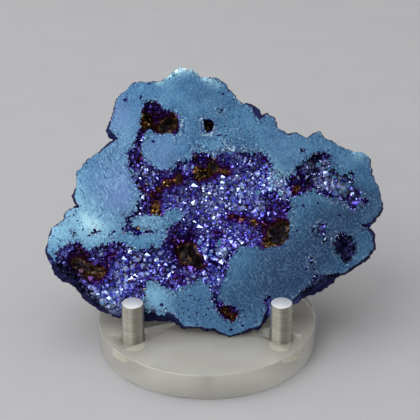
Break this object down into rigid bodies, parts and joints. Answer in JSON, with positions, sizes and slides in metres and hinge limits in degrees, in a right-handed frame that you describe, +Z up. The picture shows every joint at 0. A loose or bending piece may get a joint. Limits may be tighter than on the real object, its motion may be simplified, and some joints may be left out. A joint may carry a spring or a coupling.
{
  "type": "aura quartz geode on a stand",
  "caption": "Slice of an aura coated quartz geode with crystal lined hollows, leaning between steel pegs on a clear round disc.",
  "frame": {"origin": "centre of the stand disc's underside", "axes": "+Z up, +X along the stone's width, the sawn face looks towards -Y and up"},
  "size_m": [0.1235, 0.0905, 0.0918],
  "materials": {
    "coated_stone": "sawn flat and satin, with a thin iridescent blue metal coating",
    "coated_crystals": "glossy crystal faces with a violet and blue metal coating, gold in the deep places",
    "clear_acrylic": "clear cast acrylic with polished edges",
    "steel": "finely turned bare steel"
  },
  "bodies": {
    "root": {"geode": "coated_stone", "crystals_main_hollow": "coated_crystals", "crystals_right_hollow": "coated_crystals", "stand_disc": "clear_acrylic", "peg_front_left": "steel", "peg_front_right": "steel", "peg_rear": "steel"}
  },
  "joints": []
}
